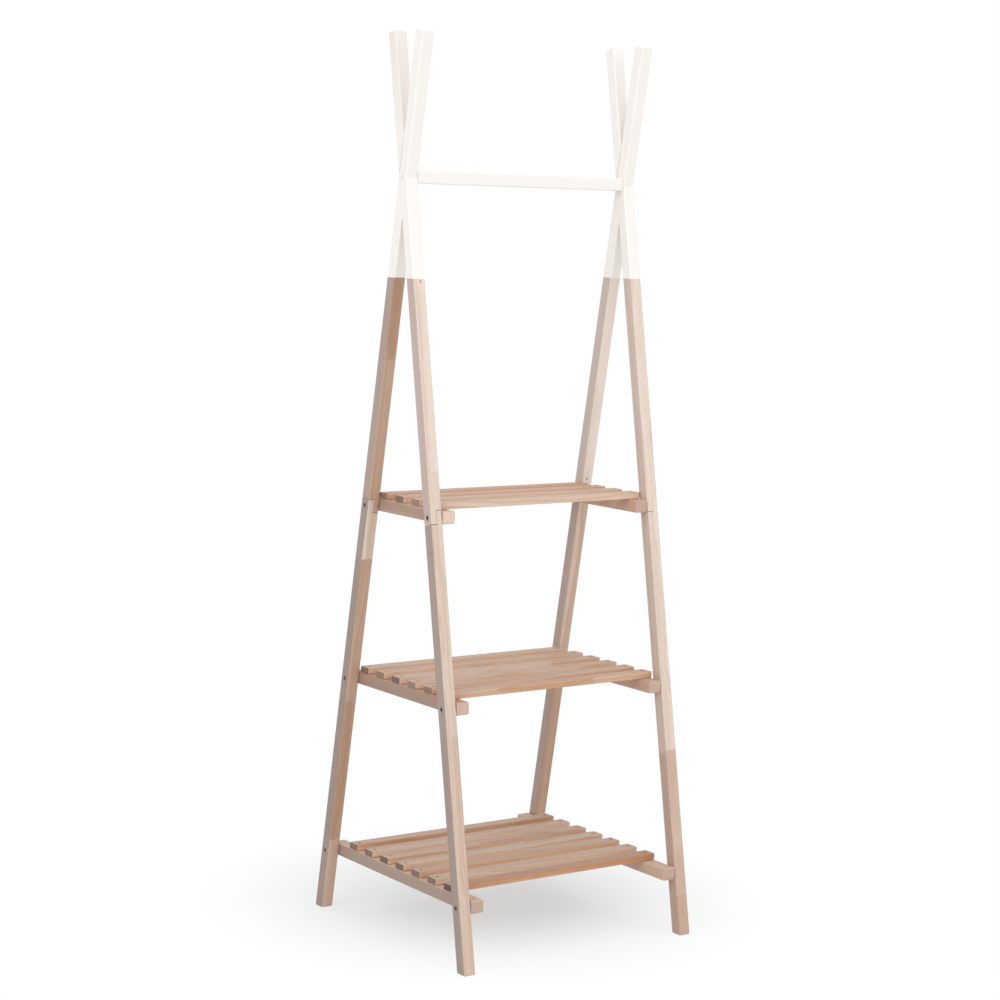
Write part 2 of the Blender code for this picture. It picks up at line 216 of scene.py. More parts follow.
def growth(tree, here, count, from_knot):
    """The nodes of the rings, the streaks, the fibres and the flecks of the wood at a point."""
    pith = add_node(tree, "Attribute", attribute_name="pith").outputs["Vector"]
    shifted = add_node(tree, "VectorMath", {0: count, 1: BLOCK_SHIFT, 2: pith},
                       operation="MULTIPLY_ADD")
    trunk = add_node(tree, "VectorMath", {0: here, 1: shifted.outputs[0]}, operation="ADD").outputs[0]
    flat = add_node(tree, "VectorMath", {0: trunk, 1: (1.0, 1.0, 0.0)}, operation="MULTIPLY")
    radius = add_node(tree, "VectorMath", {0: flat.outputs[0]}, operation="LENGTH")
    wander = grain_noise(tree, trunk, WANDER_ACROSS, WANDER_ALONG, 3.0)
    bent = add_node(tree, "Math", {0: wander.outputs["Fac"], 1: RING_WANDER,
                                   2: radius.outputs["Value"]}, operation="MULTIPLY_ADD")
    swirl = add_node(tree, "MapRange", {"Value": from_knot, "From Max": KNOT_REACH,
                                        "To Min": KNOT_PUSH, "To Max": 0.0},
                     interpolation_type="SMOOTHSTEP")
    bent = add_node(tree, "Math", {0: bent.outputs[0], 1: swirl.outputs[0]}, operation="ADD").outputs[0]
    rings = add_node(tree, "TexNoise", {"W": bent, "Scale": 1 / RING_WIDTH, "Detail": 1.0},
                     noise_dimensions="1D")
    streaks = add_node(tree, "TexNoise", {"W": bent, "Scale": 1 / STREAK_WIDTH, "Detail": 2.0},
                       noise_dimensions="1D")
    fibres = grain_noise(tree, trunk, FIBRE_WIDTH, FIBRE_LENGTH, 2.0)
    flecks = grain_noise(tree, trunk, FLECK_WIDTH, FLECK_LENGTH, 0.0)
    return rings, streaks, fibres, flecks


# %% [markdown]
# The colour is put on in layers, as a retoucher would: first a ramp from pale to deep, read at the depth
# of the block plus a little of each noise, then the flecks and the knot, then grey on the sides that
# show the rays, which is partly painted shade, and last the ends. The legs are the palest and calmest
# wood, and the slats have the liveliest figure. Oil leaves a soft shine, so the roughness is near a
# half.

# %% How strongly each layer shows, and where
STREAK_WEIGHT = 0.9
RING_WEIGHT = 0.4
FIBRE_WEIGHT = 0.24
# A fleck begins at the first of these values of its noise, and is full at the second
FLECK_RANGE = (0.60, 0.74)
FLECK_SHARE = 0.14
FLECK_BROWN = "#9B7156"
KNOT_SHARE = 0.7
KNOT_BROWN = "#A06A4C"
# The grey of the rays, which also serves as painted shade on the sides that it greys
RAY_GREY_AND_SHADE = "#96867E"
# A face begins to count as a side or an end at the first of these shares of its normal along an axis
FACING_RANGE = (0.55, 0.9)
# Late wood is dense and gets smoother. The noise of the rings turns from early to late in this range
RING_RANGE = (0.2, 0.8)
EARLY_ROUGHNESS = 0.58
LATE_ROUGHNESS = 0.46


def where_facing(tree, facing, axis, share):
    """A share that shows only on faces that look along an axis, either way."""
    aligned = add_node(tree, "Math", {0: facing.outputs[axis]}, operation="ABSOLUTE")
    return add_node(tree, "MapRange", {"Value": aligned.outputs[0], "From Min": FACING_RANGE[0],
                                       "From Max": FACING_RANGE[1], "To Max": share}).outputs[0]


# %% Beech, planed and oiled
def beech(name, palette, end_grain, end_share, shaded_ray_side, figure):
    """Finger-jointed beech, with a palette from its palest block to its deepest.

    Its rays, and painted shade with them, show on the sides that look along shaded_ray_side, and figure
    is how lively its growth looks."""
    material, tree, shader = new_material(name)
    place = add_node(tree, "TexCoord")
    here = place.outputs["Object"]
    tone, count = finger_joints(tree, here)
    from_knot = knot_distance(tree, here)
    rings, streaks, fibres, flecks = growth(tree, here, count, from_knot)

    for source, weight in ((streaks, STREAK_WEIGHT * figure), (rings, RING_WEIGHT * figure),
                           (fibres, FIBRE_WEIGHT)):
        centred = add_node(tree, "Math", {0: source.outputs["Fac"], 1: -0.5}, operation="ADD")
        tone = add_node(tree, "Math", {0: centred.outputs[0], 1: weight, 2: tone},
                        operation="MULTIPLY_ADD").outputs[0]
    ramp = add_node(tree, "ValToRGB", {"Fac": tone})
    stops = ramp.color_ramp.elements
    pale, warm, deep = palette
    stops[0].color = linear(pale)
    stops[1].color = linear(deep)
    stops.new(0.5).color = linear(warm)
    fleck = add_node(tree, "MapRange", {"Value": flecks.outputs["Fac"], "From Min": FLECK_RANGE[0],
                                        "From Max": FLECK_RANGE[1], "To Max": FLECK_SHARE})
    core = add_node(tree, "MapRange", {"Value": from_knot, "From Min": KNOT_RADIUS * 0.5,
                                       "From Max": KNOT_RADIUS * 1.5, "To Min": KNOT_SHARE,
                                       "To Max": 0.0}, interpolation_type="SMOOTHSTEP")
    # Each stick says how much its rays and painted shade show, how light they are, and how light its
    # ends are
    own = add_node(tree, "Attribute", attribute_name="rays_and_shade").outputs["Vector"]
    own = add_node(tree, "SeparateXYZ", {0: own})
    silver_and_shade = add_node(tree, "VectorMath", {0: linear(RAY_GREY_AND_SHADE)[:3], "Scale": own.outputs["Y"]},
                      operation="SCALE")
    soaked = add_node(tree, "VectorMath", {0: linear(end_grain)[:3], "Scale": own.outputs["Z"]},
                      operation="SCALE")
    facing = add_node(tree, "SeparateXYZ", {0: place.outputs["Normal"]})
    layers = [(fleck.outputs[0], linear(FLECK_BROWN)), (core.outputs[0], linear(KNOT_BROWN)),
              (where_facing(tree, facing, shaded_ray_side, own.outputs["X"]), silver_and_shade.outputs[0]),
              (where_facing(tree, facing, "Z", end_share), soaked.outputs[0])]
    colour = ramp.outputs["Color"]
    for share, layer in layers:
        colour = add_node(tree, "Mix", {"Factor": share, MIX_A: colour, MIX_B: layer},
                          data_type="RGBA").outputs[MIXED]
    tree.links.new(colour, shader.inputs["Base Color"])

    shine = add_node(tree, "MapRange", {"Value": rings.outputs["Fac"], "From Min": RING_RANGE[0],
                                        "From Max": RING_RANGE[1], "To Min": EARLY_ROUGHNESS,
                                        "To Max": LATE_ROUGHNESS})
    tree.links.new(shine.outputs[0], shader.inputs["Roughness"])
    shader.inputs["IOR"].default_value = 1.47
    relief = add_node(tree, "Bump", {"Height": fibres.outputs["Fac"], "Distance": FIBRE_RELIEF,
                                     "Strength": 0.6})
    tree.links.new(relief.outputs[0], shader.inputs["Normal"])
    return material


# %% Beech for the legs, the rails and the slats
# The greyed sides carry painted shade as well as rays: the legs' left and right sides, the rails' outer
# and inner sides, and the slats' tops and bottoms
leg_beech = beech("beech_legs_planed_and_oiled", ("#F1E3D5", "#CCAD97", "#B2896D"),
                  end_grain="#B4947E", end_share=0.6, shaded_ray_side="X", figure=0.5)
rail_beech = beech("beech_rails_planed_and_oiled", ("#E6D3C5", "#D4B39C", "#B9886A"),
                   end_grain="#D8C4B8", end_share=0.4, shaded_ray_side="Y", figure=0.6)
slat_beech = beech("beech_slats_planed_and_oiled", ("#E2CBB8", "#D4AE90", "#BE8A62"),
                   end_grain="#72584F", end_share=0.9, shaded_ray_side="Y", figure=1.5)
print("nodes in the slats' beech:", len(slat_beech.node_tree.nodes))

# %% [markdown]
# The tops of the legs and the bar have a white paint. It was brushed along the wood, in coats thin
# enough that the fibres can still be felt through them, so it is satin, not glossy. What makes it read
# as paint, and not as plastic, is that faint ribbing along the stick. On a leg with a thin coat, the
# beech shimmers through more and more towards its top.

# %% The sizes and colours of the paint
BRUSH_WIDTH = 1.6 * MM
BRUSH_LENGTH = 90 * MM
BRUSH_RELIEF = 0.06 * MM
PAINT_HOLLOWS = "#F4EEE7"
PAINT_RIDGES = "#FAF5EE"
HOLLOW_ROUGHNESS = 0.46
RIDGE_ROUGHNESS = 0.36
WOOD_BELOW = "#CCAD97"
# A thin coat gets thinner from the crossing up to here, measured along the leg
THIN_COAT_REACH = 270 * MM


# %% White acrylic paint, brushed on
def white_acrylic():
    """Brushed paint, through which the wood shows by a mesh's own share."""
    material, tree, shader = new_material("acrylic_paint_brushed_on_wood")
    here = add_node(tree, "TexCoord").outputs["Object"]
    marks = grain_noise(tree, here, BRUSH_WIDTH, BRUSH_LENGTH, 3.0)
    cover = add_node(tree, "Mix", {"Factor": marks.outputs["Fac"], MIX_A: linear(PAINT_HOLLOWS),
                                   MIX_B: linear(PAINT_RIDGES)}, data_type="RGBA")
    thin_coat = add_node(tree, "Attribute", attribute_name="thin_coat").outputs["Fac"]
    along = add_node(tree, "SeparateXYZ", {0: here}).outputs["Z"]
    through = add_node(tree, "MapRange", {"Value": along, "From Max": THIN_COAT_REACH,
                                          "To Max": thin_coat})
    shown = add_node(tree, "Mix", {"Factor": through.outputs[0], MIX_A: cover.outputs[MIXED],
                                   MIX_B: linear(WOOD_BELOW)}, data_type="RGBA")
    tree.links.new(shown.outputs[MIXED], shader.inputs["Base Color"])
    satin = add_node(tree, "MapRange", {"Value": marks.outputs["Fac"], "To Min": HOLLOW_ROUGHNESS,
                                        "To Max": RIDGE_ROUGHNESS})
    tree.links.new(satin.outputs[0], shader.inputs["Roughness"])
    shader.inputs["IOR"].default_value = 1.49
    relief = add_node(tree, "Bump", {"Height": marks.outputs["Fac"], "Distance": BRUSH_RELIEF,
                                     "Strength": 0.5})
    tree.links.new(relief.outputs[0], shader.inputs["Normal"])
    return material


paint = white_acrylic()
print("paint:", paint.name)

# %% [markdown]
# The bolts are steel with a dark zinc plating that was tumbled in a barrel, which leaves a brownish grey
# metal with soft, cloudy patches of more and less shine. The slat screws have the yellow passivation of
# wood screws, and from a step away they are small tan dots.

# %% The sizes of the plating's cloudiness
CLOUD_SIZE = 1.4 * MM
DULL_ROUGHNESS = 0.42
BRIGHT_ROUGHNESS = 0.26


# %% Plated steel
def plated_steel(name, light, dark):
    """Steel with a cloudy plating between two colours."""
    material, tree, shader = new_material(name)
    place = add_node(tree, "TexCoord")
    clouds = add_node(tree, "TexNoise", {"Vector": place.outputs["Object"], "Scale": 1 / CLOUD_SIZE,
                                         "Detail": 3.0})
    colour = add_node(tree, "Mix", {"Factor": clouds.outputs["Fac"], MIX_A: linear(dark),
                                    MIX_B: linear(light)}, data_type="RGBA")
    tree.links.new(colour.outputs[MIXED], shader.inputs["Base Color"])
    shine = add_node(tree, "MapRange", {"Value": clouds.outputs["Fac"], "To Min": DULL_ROUGHNESS,
                                        "To Max": BRIGHT_ROUGHNESS})
    tree.links.new(shine.outputs[0], shader.inputs["Roughness"])
    shader.inputs["Metallic"].default_value = 1.0
    return material


zinc = plated_steel("steel_zinc_plated_in_a_barrel", "#948677", "#574C42")
yellow_zinc = plated_steel("steel_zinc_yellow_passivated", "#C8A06A", "#8A6238")
print("metals:", zinc.name, yellow_zinc.name)

# %% [markdown]
# Woodworking is removing, and so is this: a stick starts as a block with rounded arrises, and what a
# saw, a chisel or a drill would take away is cut off with boolean differences. The sharp edges that a
# cut leaves are then eased by a millimetre or less, as a pass with fine paper would, which is what
# makes a joint show as a soft line. Weighted normals keep the flat faces flat beside the round ones.

# %% Sizes of the shaping
LEG_ARRIS = 3 * MM
RAIL_ARRIS = 3 * MM
SLAT_ARRIS = 1.6 * MM
BAR_ARRIS = 2 * MM
ARRIS_STEPS = 5
EASED_EDGE = 0.6 * MM
LEG_EASE = 0.7 * MM
SLAT_EASE = 0.4 * MM
EASED_STEPS = 2
# A cutter reaches this far past what it cuts
OVERRUN = 5 * MM
# Points nearer than this are made one, and a tenth of it tells whether a point lies on a level cut
MERGE_REACH = 0.001 * MM
# An edge that turns by more than the first angle is an arris, and shades sharp. The steps of a rounded
# arris turn by less, and after that only cut edges turn by more than the second angle
SHARP_ANGLE = math.radians(32)
CUT_ANGLE = math.radians(50)
workshop = bpy.context.scene.collection


# %% Blocks and turned shapes
def block(low, high):
    """A box between two corners."""
    low, high = Vector(low), Vector(high)
    shape = bmesh.new()
    place = Matrix.Translation((low + high) / 2) @ Matrix.Diagonal((high - low).to_4d())
    bmesh.ops.create_cube(shape, size=1.0, matrix=place)
    return shape


def turned(profile, facets):
    """A closed solid, as from a lathe: (radius, height) points turned round the Z axis."""
    shape = bmesh.new()
    points = [shape.verts.new((radius, 0.0, height)) for radius, height in profile]
    lines = [shape.edges.new(pair) for pair in zip(points, points[1:])]
    bmesh.ops.spin(shape, geom=points + lines, axis=(0, 0, 1), cent=(0, 0, 0), angle=math.tau,
                   steps=facets)
    bmesh.ops.remove_doubles(shape, verts=shape.verts[:], dist=MERGE_REACH)
    bmesh.ops.recalc_face_normals(shape, faces=shape.faces[:])
    return shape


# %% Cutting and rounding
def as_object(shape, name):
    """A bmesh as an object in the scene."""
    mesh = bpy.data.meshes.new(name)
    shape.to_mesh(mesh)
    shape.free()
    thing = bpy.data.objects.new(name, mesh)
    workshop.objects.link(thing)
    return thing


def round_off(thing, width, steps, least_angle):
    """Round every edge of an object that is sharper than an angle."""
    bevel = thing.modifiers.new("rounded edges", "BEVEL")
    bevel.width = width
    bevel.segments = steps
    bevel.limit_method = "ANGLE"
    bevel.angle_limit = least_angle


def carve(blank, cutters, arris=0.0, ease=EASED_EDGE, eased_from=CUT_ANGLE):
    """The mesh that is left of a blank, once rounded, when every cutter has been taken out of it.

    Cut edges are eased where the faces turn by the angle eased_from or more."""
    body = as_object(blank, "blank")
    if arris:
        round_off(body, arris, ARRIS_STEPS, SHARP_ANGLE)
    tools = []
    for shape, place in cutters:
        tool = as_object(shape, "cutter")
        tool.matrix_world = place
        tools.append(tool)
        cut = body.modifiers.new("cut", "BOOLEAN")
        cut.operation = "DIFFERENCE"
        cut.solver = "EXACT"
        cut.object = tool
    round_off(body, ease, EASED_STEPS, eased_from)
    bpy.context.view_layer.update()
    graph = bpy.context.evaluated_depsgraph_get()
    mesh = bpy.data.meshes.new_from_object(body.evaluated_get(graph))
    # An object goes when its mesh does, so this clears away both
    for thing in [body, *tools]:
        bpy.data.meshes.remove(thing.data)
    return mesh


# %% [markdown]
# A finished piece is put in its place, shaded and given its materials, and the solid that it stands
# for is hidden. Wood also gets the values that its texture reads: where the pith of its tree was, how
# grey the rays and painted shade make its sides, how light its end grain is, where its finger joints
# are, how deep each block's colour is, and where a knot sits.


# %% Finishing a piece
def finish_piece(name, mesh, place, materials, nodes):
    """Set a mesh in the rack as a piece, which stands for the solids of these nodes."""
    mesh.name = name
    mesh.shade_smooth()
    mesh.set_sharp_from_angle(angle=SHARP_ANGLE)
    for material in materials:
        mesh.materials.append(material)
    piece = bpy.data.objects.new(name, mesh)
    workshop.objects.link(piece)
    piece.matrix_world = place
    flat = piece.modifiers.new("flat faces", "WEIGHTED_NORMAL")
    flat.keep_sharp = True
    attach(piece, "root")
    if nodes:
        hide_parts(*nodes)


# %% The grain of a stick
# The place, in metres, of a joint or a knot that a stick hasn't got
FAR_AWAY = 9.0
NEAREST_PITH = 50 * MM
FARTHEST_PITH = 130 * MM
TRUNK_LENGTH = 2.0


def set_grain(mesh, pith, rays_and_shade, end, tones, joints=(), knot=None):
    """Write the values that the beech texture reads. Tones and joints go up along the stick.

    The rays_and_shade are how much the rays and the painted shade show on this stick's sides, and how
    light they are there."""
    tones = list(tones) + [tones[-1]] * (4 - len(tones))
    joints = list(joints) + [FAR_AWAY] * (3 - len(joints))
    knot = knot or (FAR_AWAY, FAR_AWAY, FAR_AWAY)
    count = len(mesh.vertices)
    vectors = {"rays_and_shade": (*rays_and_shade, end), "pith": pith, "joints": joints, "knot": knot}
    for label, value in vectors.items():
        layer = mesh.attributes.new(label, "FLOAT_VECTOR", "POINT")
        layer.data.foreach_set("vector", list(value) * count)
    layer = mesh.attributes.new("tones", "FLOAT_COLOR", "POINT")
    layer.data.foreach_set("color", tones * count)


def pith_place(name):
    """Where the tree's middle was, seen from this stick: the same for a name on every run."""
    dice = random.Random(name)
    angle = dice.uniform(0, math.tau)
    distance = dice.uniform(NEAREST_PITH, FARTHEST_PITH)
    return (distance * math.cos(angle), distance * math.sin(angle), dice.uniform(0, TRUNK_LENGTH))


# %% [markdown]
# The legs come first, because the photograph shows them best. Each is two lengths that meet in a half
# lap at the top rail, and each pair is halved where it crosses. A leg is made in its own frame: the
# origin on the crossing, Z up the stick. In that frame the laps and the halving are plain boxes.

# %% Where the joints of a leg are
cosine = math.cos(splay)
sine = math.sin(splay)
half = leg_stock / 2


def along_leg(height):
    """A height above the floor as a distance up a leg, from the crossing."""
    return (height - crossing_height) / cosine


upper_low, upper_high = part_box("right_front_upper_leg")
lower_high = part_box("right_front_lower_leg")[1]
leg_top = along_leg(upper_high.z - half * sine)
leg_foot = along_leg(0)
lap_top = along_leg(lower_high.z - half * sine)
lap_bottom = along_leg(upper_low.z + half * sine)
FIT_GAP = 0.3 * MM
# The ends of a lap stand open a little more than its sides, so that their seams show as in the photo
LAP_GAP = 0.8 * MM
# The frames were masked and painted one at a time, so the paint of the right one ends a little higher
PAINT_HEIGHTS = {"left": 1250 * MM, "right": 1254 * MM}
print("lap from", round(lap_bottom, 4), "to", round(lap_top, 4), "m along the leg from the crossing")

# %% [markdown]
# Every bolt sits in a stepped hole that is drilled through the leg and on into the rail or the bar. The
# head's seat is as deep as in the solids, and its top comes nearly up to the wood, as in the photo. A
# bolt and its hole have their own frame as well: Z points out of the leg, from zero on its outer face.

# %% The bolts' holes and places
BOLT_RADIUS = 3 * MM
HEAD_RADIUS = 4.5 * MM
HEAD_RECESS = 0.3 * MM
HEAD_HEIGHT = 5.2 * MM
SHANK_LENGTH = 35 * MM
BOLT_FACETS = 48


def bolt_hole():
    seat = -HEAD_RECESS - HEAD_HEIGHT - FIT_GAP
    return turned([(0, OVERRUN), (HEAD_RADIUS + FIT_GAP, OVERRUN), (HEAD_RADIUS + FIT_GAP, seat),
                   (BOLT_RADIUS + FIT_GAP, seat), (BOLT_RADIUS + FIT_GAP, seat - SHANK_LENGTH),
                   (0, seat - SHANK_LENGTH)], BOLT_FACETS)


def bolt_matrix(side, foot, level):
    """The place of a bolt through a leg at this height. Both legs share the one at the crossing."""
    outer_face = SIDES[side] * (leg_plane + half)
    across = FEET[foot] * (crossing_height - level) * slope
    return Matrix.Translation((outer_face, across, level)) @ Matrix.Rotation(
        SIDES[side] * math.pi / 2, 4, "Y")


def leg_matrix(side, foot):
    place = Matrix.Translation((SIDES[side] * leg_plane, 0, crossing_height))
    return place @ Matrix.Rotation(FEET[foot] * splay, 4, "X")


# %% Sawing a leg's blank, and painting its top
def upward(foot):
    """The way straight up, in a leg's own frame."""
    lean = FEET[foot] * splay
    return Vector((0, math.sin(lean), math.cos(lean)))


def split_level(shape, foot, along, **options):
    """Cut a leg's bmesh along a level plane, in the leg's own frame, and give back the new edges."""
    everything = shape.verts[:] + shape.edges[:] + shape.faces[:]
    split = bmesh.ops.bisect_plane(shape, geom=everything, plane_co=(0, 0, along),
                                   plane_no=upward(foot), dist=MERGE_REACH / 10, **options)
    return [part for part in split["geom_cut"] if isinstance(part, bmesh.types.BMEdge)]


def leg_blank(foot):
    """The whole stick, sawn off level with the floor."""
    shape = block((-half, -half, leg_foot - leg_stock), (half, half, leg_top))
    rim = split_level(shape, foot, leg_foot, clear_inner=True)
    bmesh.ops.holes_fill(shape, edges=rim)
    bmesh.ops.recalc_face_normals(shape, faces=shape.faces[:])
    return shape


def paint_top(mesh, side, foot):
    """Split a leg's faces at the level edge of the paint, and paint what is above it."""
    paint_edge = along_leg(PAINT_HEIGHTS[side])
    shape = bmesh.new()
    shape.from_mesh(mesh)
    split_level(shape, foot, paint_edge)
    for face in shape.faces:
        from_edge = face.calc_center_median() - Vector((0, 0, paint_edge))
        face.material_index = 1 if from_edge.dot(upward(foot)) > 0 else 0
    shape.to_mesh(mesh)
    shape.free()


# %% What is cut out of a leg
def leg_cutters(side, foot, part):
    """The cutters of one length of a leg, in the leg's own frame."""
    # The frames are alike, but one is turned half round: at the left rear and the right front the lower
    # length's tongue is the outer half, and elsewhere the inner one. The crossing's notch is on the
    # side that has no tongue
    tongue = SIDES[side] if SIDES[side] * FEET[foot] < 0 else -SIDES[side]
    wide = half + OVERRUN
    still = Matrix.Identity(4)
    to_leg = leg_matrix(side, foot).inverted()
    if part == "lower":
        levels = list(rail_levels.values())
        cheek = sorted((tongue * FIT_GAP / 2, -tongue * wide))
        cutters = [(block((-wide, -wide, lap_top - LAP_GAP / 2),
                          (wide, wide, leg_top + OVERRUN)), still),
                   (block((cheek[0], -wide, lap_bottom - LAP_GAP / 2),
                          (cheek[1], wide, lap_top + OVERRUN)), still)]
    else:
        levels = [rail_levels["top"], crossing_height]
        cheek = sorted((-tongue * FIT_GAP / 2, tongue * wide))
        notch = sorted((tongue * FIT_GAP / 2, -tongue * wide))
        other = "front" if foot == "rear" else "rear"
        long = leg_stock / sine
        cutters = [(block((-wide, -wide, leg_foot - leg_stock - OVERRUN),
                          (wide, wide, lap_bottom + LAP_GAP / 2)), still),
                   (block((cheek[0], -wide, lap_bottom - OVERRUN),
                          (cheek[1], wide, lap_top + LAP_GAP / 2)), still),
                   (block((notch[0], -half - FIT_GAP, -long), (notch[1], half + FIT_GAP, long)),
                    to_leg @ leg_matrix(side, other))]
    cutters += [(bolt_hole(), to_leg @ bolt_matrix(side, foot, level)) for level in levels]
    return cutters


# %% [markdown]
# Where the photograph shows a change of wood along a leg, that is a finger joint, and its height is
# noted here with the depth of colour of each block, from 0 for the palest to 1 for the deepest, how
# much the rays and painted shade show on the sides, and how light they are there. A knot is placed by
# its distance from the middle of the front face, in millimetres, and its height. One leg's paint is
# thin: by its top, this share of what is seen is wood.

# %% The legs' wood, and the legs
LEG_WOOD = {
    ("left", "rear", "lower"): ([0.52, 0.83, 0.66, 0.28], [0.145, 0.43, 0.715], (0.85, 0.96)),
    ("left", "rear", "upper"): ([0.67, 0.86], [1.10], (0.8, 1.30)),
    ("left", "front", "lower"): ([0.44, 0.28], [0.425], (0.82, 0.98)),
    ("left", "front", "upper"): ([0.23, 0.17], [0.90], (0.8, 1.58)),
    ("right", "rear", "lower"): ([0.75, 0.42], [0.43], (0.74, 1.34)),
    ("right", "rear", "upper"): ([0.05], [], (0.6, 1.3)),
    ("right", "front", "lower"): ([0.60, 0.50, 0.24], [0.075, 0.35], (0.4, 1.15)),
    ("right", "front", "upper"): ([0.20, 0.18], [0.98], (0.4, 1.27)),
}
LEG_KNOTS = {"left_front_upper": (2.0, 1.243), "right_rear_upper": (-2.0, 0.851)}
THIN_COATS = {"left_front_upper": 0.22}

for (side, foot, part), (tones, heights, rays_and_shade) in LEG_WOOD.items():
    name = "_".join((side, foot, part))
    node = name + "_leg"
    mesh = carve(leg_blank(foot), leg_cutters(side, foot, part), LEG_ARRIS, LEG_EASE)
    if part == "upper":
        paint_top(mesh, side, foot)
        thin_coat = mesh.attributes.new("thin_coat", "FLOAT", "POINT")
        thin_coat.data.foreach_set("value", [THIN_COATS.get(name, 0.0)] * len(mesh.vertices))
    knot = LEG_KNOTS.get(name)
    knot_place = knot and (knot[0] * MM, -half, along_leg(knot[1]))
    joints = [along_leg(height) for height in heights]
    set_grain(mesh, pith_place(node), rays_and_shade, 1.0, tones, joints, knot_place)
    finishes = [leg_beech, paint] if part == "upper" else [leg_beech]
    finish_piece(node + "_stick", mesh, leg_matrix(side, foot), finishes, [node])
print("legs made:", len(LEG_WOOD), "lengths")

# %% [markdown]
# Rails, slats and the bar lie square, so their solids' boxes give everything. Their own Z axis still
# runs along the wood: the sides of a box are only named in another order. A slat's two screws go
# through it into the rails, and their countersunk holes are drilled in both. A screw's own frame has Z
# up out of the slat, from zero on the slat's top.

# %% Frames for the pieces that lie square
# The rack's directions along which a piece's own X, Y and Z lie
AXES = {
    "slat": (Vector((0, 1, 0)), Vector((0, 0, 1)), Vector((1, 0, 0))),
    "rail": (Vector((0, 0, 1)), Vector((1, 0, 0)), Vector((0, 1, 0))),
}


def square_matrix(kind, node):
    """The place of a piece whose own Z axis runs along its wood."""
    turn = Matrix(AXES[kind]).transposed().to_4x4()
    return Matrix.Translation(middle(node)) @ turn


def square_blank(kind, node):
    size = extent(node)
    reach = Vector([abs(size.dot(axis)) / 2 for axis in AXES[kind]])
    return block(-reach, reach)


# %% The screws' holes and places
SCREW_HEAD_RADIUS = 3.5 * MM
SCREW_RADIUS = 1.75 * MM
SCREW_RECESS = 0.5 * MM
SCREW_HEAD_HEIGHT = 2 * MM
SCREW_LENGTH = 25 * MM
SCREW_FACETS = 28


def screw_hole():
    neck = -SCREW_RECESS - SCREW_HEAD_HEIGHT
    wide = SCREW_HEAD_RADIUS + FIT_GAP
    narrow = SCREW_RADIUS + FIT_GAP
    tip = -SCREW_RECESS - SCREW_LENGTH - FIT_GAP
    return turned([(0, OVERRUN), (wide, OVERRUN), (wide, -SCREW_RECESS), (narrow, neck),
                   (narrow, tip), (0, tip)], SCREW_FACETS)


def screw_matrix(side, slat):
    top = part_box(slat)[1].z
    return Matrix.Translation((SIDES[side] * rail_plane, middle(slat).y, top))


# %% [markdown]
# Shelf slats are sawn from whatever boards are at hand, so neighbours differ. Each slat here has its
# own depth of colour, chosen against the photograph, and now and then a finger joint, whose place is
# given in metres from the slat's middle. Sawn ends soak up oil unevenly, so some are nearly as light as
# the sides, and others quite dark.

# %% The slats' wood, from the rear slat to the front one
# On a slat the greyed sides are its top and bottom, so this grey is painted shade there as well as rays
SLAT_RAYS_AND_SHADE = (0.35, 1.27)
SLAT_TONES = {
    "bottom": [0.50, 0.38, 0.44, 0.38, 0.56, 0.34, 1.00],
    "middle": [0.38, 0.42, 0.22, 0.40, 0.48, 0.55],
    "top": [0.70, 0.52, 0.38, 0.38],
}
SLAT_ENDS = {
    "bottom": [1.06, 0.94, 0.54, 0.63, 0.95, 0.96, 0.30],
    "middle": [0.97, 1.25, 0.60, 1.45, 1.25, 1.00],
    "top": [1.45, 0.93, 1.60, 1.00],
}
SLAT_JOINTS = {
    "bottom_slat_3": ([0.45, 0.57, 0.42], [-0.02, 0.15]),
    "bottom_slat_4": ([0.40, 0.34], [0.06]),
    "middle_slat_3": ([0.22, 0.46], [0.12]),
    "middle_slat_6": ([0.50, 0.66, 0.52], [-0.12, 0.10]),
    "top_slat_3": ([0.28, 0.40], [-0.06]),
}
SLAT_KNOTS = {"bottom_slat_2": (-2 * MM, 6.25 * MM, 5 * MM)}

# %% The slats
for shelf, slats in SLATS.items():
    for node, tone, end in zip(slats, SLAT_TONES[shelf], SLAT_ENDS[shelf]):
        place = square_matrix("slat", node)
        to_slat = place.inverted()
        drilled = [(screw_hole(), to_slat @ screw_matrix(side, node)) for side in SIDES]
        mesh = carve(square_blank("slat", node), drilled, SLAT_ARRIS, SLAT_EASE)
        tones, joints = SLAT_JOINTS.get(node, ([tone], []))
        set_grain(mesh, pith_place(node), SLAT_RAYS_AND_SHADE, end, tones, joints, SLAT_KNOTS.get(node))
        finish_piece(node + "_stick", mesh, place, [slat_beech], [node])
print("slats made:", sum(SHELVES.values()))

# %% [markdown]
# A rail is one length of wood without a joint. Each one has the depth of its colour, how much its rays
# and painted shade show on the outer and the inner side and how light they are there, and how light
# its ends are.

# %% The rails
RAIL_WOOD = {
    "left_bottom": (0.46, (0.63, 0.67), 0.43),
    "left_middle": (0.79, (0.60, 0.74), 1.10),
    "left_top": (0.50, (0.45, 0.50), 1.40),
    "right_bottom": (0.50, (0.18, 1.10), 0.50),
    "right_middle": (0.66, (0.10, 0.60), 0.80),
    "right_top": (0.69, (0.10, 0.60), 0.70),
}

for name, (tone, rays_and_shade, end) in RAIL_WOOD.items():
    side, shelf = name.split("_")
    node = name + "_rail"
    place = square_matrix("rail", node)
    to_rail = place.inverted()
    drilled = [(bolt_hole(), to_rail @ bolt_matrix(side, foot, rail_levels[shelf])) for foot in FEET]
    drilled += [(screw_hole(), to_rail @ screw_matrix(side, slat)) for slat in SLATS[shelf]]
    mesh = carve(square_blank("rail", node), drilled, RAIL_ARRIS)
    set_grain(mesh, pith_place(node), rays_and_shade, end, [tone])
    finish_piece(node + "_stick", mesh, place, [rail_beech], [node])
print("rails made:", len(RAIL_WOOD))

